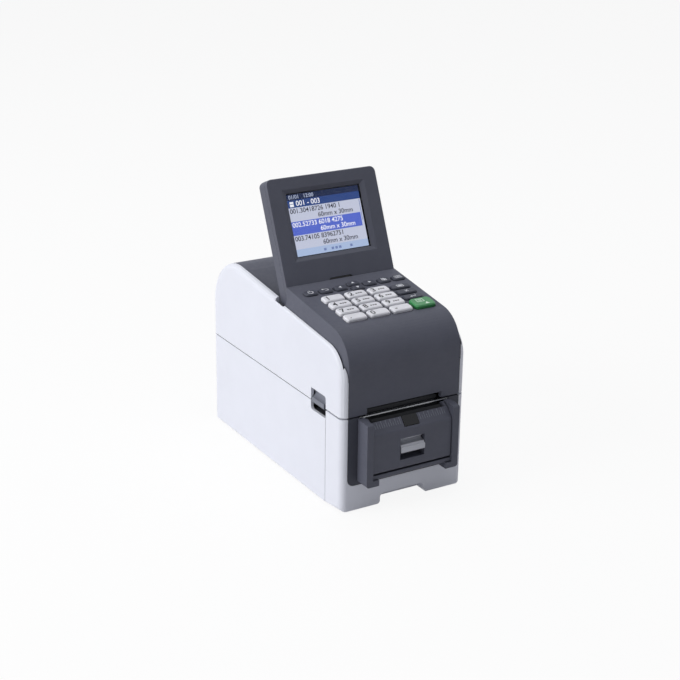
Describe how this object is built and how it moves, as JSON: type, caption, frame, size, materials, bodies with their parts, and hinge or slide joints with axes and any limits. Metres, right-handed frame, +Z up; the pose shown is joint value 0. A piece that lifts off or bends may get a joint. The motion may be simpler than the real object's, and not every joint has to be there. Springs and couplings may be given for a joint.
{
  "type": "label_printer",
  "caption": "Desktop thermal label printer: white and dark casing, folding colour display, keypad with one green key, front label peeler and a cover that opens at the back.",
  "frame": {"origin": "middle of the footprint of body and peeler, on the table", "axes": "X to the right seen from the front, Y to the rear, Z up"},
  "size_m": [0.11, 0.225, 0.2283],
  "materials": {
    "white_plastic": "satin moulded, fine grain",
    "dark_plastic": "fine spark-eroded grain",
    "inner_plastic": "plain moulded",
    "foot_rubber": "matte",
    "steel": "bright zinc plated",
    "circuit_board": "solder mask",
    "gear_plastic": "natural acetal",
    "lever_plastic": "fine grain",
    "sensor_plastic": "clear black window",
    "head_aluminium": "extruded",
    "key_silicone": "moulded silicone",
    "screen_glass": "clear cover over a lit picture",
    "white_key": "fine grain, printed figures",
    "dark_key": "fine grain, printed signs",
    "green_key": "satin, printed sign"
  },
  "bodies": {
    "base": {"base_shell": "white_plastic", "bottom_plate": "inner_plastic", "front_cover": "white_plastic", "front_inset": "dark_plastic", "rubber_feet": "foot_rubber", "roll_tray": "inner_plastic", "power_inlet": "inner_plastic", "data_sockets": "steel", "main_board": "circuit_board", "feed_motor": "steel", "tear_bar": "steel", "cover_hinge_pin": "steel", "peeler_frame": "dark_plastic"},
    "pinion": {"motor_pinion": "gear_plastic"},
    "idler": {"idler_gear": "gear_plastic"},
    "platen": {"platen_roller": "foot_rubber", "platen_gear": "gear_plastic"},
    "guide_l": {"roll_guide_left": "inner_plastic"},
    "guide_r": {"roll_guide_right": "inner_plastic"},
    "guide_gear": {"guide_pinion": "gear_plastic"},
    "door": {"peeler_door": "dark_plastic", "label_sensor": "sensor_plastic"},
    "roller": {"peel_roller": "foot_rubber"},
    "lever": {"peeler_lever": "lever_plastic"},
    "cover": {"cover_side_left": "white_plastic", "cover_side_right": "white_plastic", "keypad_housing": "dark_plastic", "rear_cover": "dark_plastic", "cover_frame": "inner_plastic", "print_head": "head_aluminium", "key_mat": "key_silicone"},
    "release": {"release_bar": "inner_plastic"},
    "display": {"display_bezel": "dark_plastic", "display_back": "dark_plastic", "lcd_module": "steel", "display_window": "screen_glass"},
    "key power": {"key_power": "dark_key"},
    "key back": {"key_back": "dark_key"},
    "key left": {"key_left": "dark_key"},
    "key up": {"key_up": "dark_key"},
    "key down": {"key_down": "dark_key"},
    "key right": {"key_right": "dark_key"},
    "key copy": {"key_copy": "dark_key"},
    "key menu": {"key_menu": "dark_key"},
    "key mode": {"key_mode": "dark_key"},
    "key clear": {"key_clear": "dark_key"},
    "key enter": {"key_enter": "dark_key"},
    "key print": {"key_print": "green_key"},
    "key 1": {"key_1": "white_key"},
    "key 2": {"key_2": "white_key"},
    "key 3": {"key_3": "white_key"},
    "key 4": {"key_4": "white_key"},
    "key 5": {"key_5": "white_key"},
    "key 6": {"key_6": "white_key"},
    "key 7": {"key_7": "white_key"},
    "key 8": {"key_8": "white_key"},
    "key 9": {"key_9": "white_key"},
    "key point": {"key_point": "white_key"},
    "key 0": {"key_0": "white_key"},
    "key dash": {"key_dash": "white_key"}
  },
  "joints": [
    {"name": "cover_hinge", "type": "hinge", "parent": "base", "child": "cover", "pos_m": [0, 0.109, 0.0816], "axis": [-1, 0, 0], "range_deg": [0, 78]},
    {"name": "display_hinge", "type": "hinge", "parent": "cover", "child": "display", "pos_m": [0, -0.0009, 0.14154], "axis": [-1, 0, 0], "range_deg": [0, 55]},
    {"name": "peeler_door_hinge", "type": "hinge", "parent": "base", "child": "door", "pos_m": [0, -0.108, 0.0357], "axis": [1, 0, 0], "range_deg": [0, 80]},
    {"name": "peeler_lever_pivot", "type": "hinge", "parent": "door", "child": "lever", "pos_m": [0, -0.1056, 0.0555], "axis": [-1, 0, 0], "range_deg": [0, 10], "stiffness_Nm_per_rad": 0.05},
    {"name": "cover_release", "type": "hinge", "parent": "cover", "child": "release", "pos_m": [0, -0.05, 0.088], "axis": [-1, 0, 0], "range_deg": [0, 11], "stiffness_Nm_per_rad": 0.3, "springref_deg": -17.19},
    {"name": "platen_turn", "type": "hinge", "parent": "base", "child": "platen", "pos_m": [0, -0.0902, 0.0692], "axis": [1, 0, 0], "continuous": true},
    {"name": "idler_turn", "type": "hinge", "parent": "base", "child": "idler", "pos_m": [0, -0.08167, 0.05626], "axis": [1, 0, 0], "continuous": true},
    {"name": "pinion_turn", "type": "hinge", "parent": "base", "child": "pinion", "pos_m": [0, -0.06967, 0.04725], "axis": [1, 0, 0], "continuous": true},
    {"name": "peel_roller_turn", "type": "hinge", "parent": "door", "child": "roller", "pos_m": [0, -0.0993, 0.0702], "axis": [1, 0, 0], "continuous": true},
    {"name": "guide_left_slide", "type": "slide", "parent": "base", "child": "guide_l", "axis": [1, 0, 0], "range_m": [0, 0.019]},
    {"name": "guide_right_slide", "type": "slide", "parent": "base", "child": "guide_r", "axis": [1, 0, 0], "range_m": [-0.019, 0]},
    {"name": "guide_pinion_turn", "type": "hinge", "parent": "base", "child": "guide_gear", "pos_m": [0, 0.0165, 0], "axis": [0, 0, 1], "range_deg": [0, 185]},
    {"name": "press_power", "type": "slide", "parent": "cover", "child": "key power", "axis": [0, 0.1374, -0.9905], "range_m": [0, 0.0012], "stiffness_N_per_m": 400},
    {"name": "press_back", "type": "slide", "parent": "cover", "child": "key back", "axis": [0, 0.1374, -0.9905], "range_m": [0, 0.0012], "stiffness_N_per_m": 400},
    {"name": "press_left", "type": "slide", "parent": "cover", "child": "key left", "axis": [0, 0.1374, -0.9905], "range_m": [0, 0.0012], "stiffness_N_per_m": 400},
    {"name": "press_up", "type": "slide", "parent": "cover", "child": "key up", "axis": [0, 0.1374, -0.9905], "range_m": [0, 0.0012], "stiffness_N_per_m": 400},
    {"name": "press_down", "type": "slide", "parent": "cover", "child": "key down", "axis": [0, 0.1374, -0.9905], "range_m": [0, 0.0012], "stiffness_N_per_m": 400},
    {"name": "press_right", "type": "slide", "parent": "cover", "child": "key right", "axis": [0, 0.1374, -0.9905], "range_m": [0, 0.0012], "stiffness_N_per_m": 400},
    {"name": "press_copy", "type": "slide", "parent": "cover", "child": "key copy", "axis": [0, 0.1374, -0.9905], "range_m": [0, 0.0012], "stiffness_N_per_m": 400},
    {"name": "press_menu", "type": "slide", "parent": "cover", "child": "key menu", "axis": [0, 0.1374, -0.9905], "range_m": [0, 0.0012], "stiffness_N_per_m": 400},
    {"name": "press_mode", "type": "slide", "parent": "cover", "child": "key mode", "axis": [0, 0.1374, -0.9905], "range_m": [0, 0.0012], "stiffness_N_per_m": 400},
    {"name": "press_clear", "type": "slide", "parent": "cover", "child": "key clear", "axis": [0, 0.1374, -0.9905], "range_m": [0, 0.0012], "stiffness_N_per_m": 400},
    {"name": "press_enter", "type": "slide", "parent": "cover", "child": "key enter", "axis": [0, 0.1374, -0.9905], "range_m": [0, 0.0012], "stiffness_N_per_m": 400},
    {"name": "press_print", "type": "slide", "parent": "cover", "child": "key print", "axis": [0, 0.1374, -0.9905], "range_m": [0, 0.0012], "stiffness_N_per_m": 400},
    {"name": "press_1", "type": "slide", "parent": "cover", "child": "key 1", "axis": [0, 0.1374, -0.9905], "range_m": [0, 0.0012], "stiffness_N_per_m": 400},
    {"name": "press_2", "type": "slide", "parent": "cover", "child": "key 2", "axis": [0, 0.1374, -0.9905], "range_m": [0, 0.0012], "stiffness_N_per_m": 400},
    {"name": "press_3", "type": "slide", "parent": "cover", "child": "key 3", "axis": [0, 0.1374, -0.9905], "range_m": [0, 0.0012], "stiffness_N_per_m": 400},
    {"name": "press_4", "type": "slide", "parent": "cover", "child": "key 4", "axis": [0, 0.1374, -0.9905], "range_m": [0, 0.0012], "stiffness_N_per_m": 400},
    {"name": "press_5", "type": "slide", "parent": "cover", "child": "key 5", "axis": [0, 0.1374, -0.9905], "range_m": [0, 0.0012], "stiffness_N_per_m": 400},
    {"name": "press_6", "type": "slide", "parent": "cover", "child": "key 6", "axis": [0, 0.1374, -0.9905], "range_m": [0, 0.0012], "stiffness_N_per_m": 400},
    {"name": "press_7", "type": "slide", "parent": "cover", "child": "key 7", "axis": [0, 0.1374, -0.9905], "range_m": [0, 0.0012], "stiffness_N_per_m": 400},
    {"name": "press_8", "type": "slide", "parent": "cover", "child": "key 8", "axis": [0, 0.1374, -0.9905], "range_m": [0, 0.0012], "stiffness_N_per_m": 400},
    {"name": "press_9", "type": "slide", "parent": "cover", "child": "key 9", "axis": [0, 0.1374, -0.9905], "range_m": [0, 0.0012], "stiffness_N_per_m": 400},
    {"name": "press_point", "type": "slide", "parent": "cover", "child": "key point", "axis": [0, 0.1374, -0.9905], "range_m": [0, 0.0012], "stiffness_N_per_m": 400},
    {"name": "press_0", "type": "slide", "parent": "cover", "child": "key 0", "axis": [0, 0.1374, -0.9905], "range_m": [0, 0.0012], "stiffness_N_per_m": 400},
    {"name": "press_dash", "type": "slide", "parent": "cover", "child": "key dash", "axis": [0, 0.1374, -0.9905], "range_m": [0, 0.0012], "stiffness_N_per_m": 400}
  ],
  "couplings": [
    {"joint": "idler_turn", "follows": "platen_turn", "ratio": -0.40909},
    {"joint": "pinion_turn", "follows": "platen_turn", "ratio": 1.125},
    {"joint": "guide_right_slide", "follows": "guide_left_slide", "ratio": -1},
    {"joint": "guide_pinion_turn", "follows": "guide_left_slide", "rad_per_m": 166.67}
  ]
}
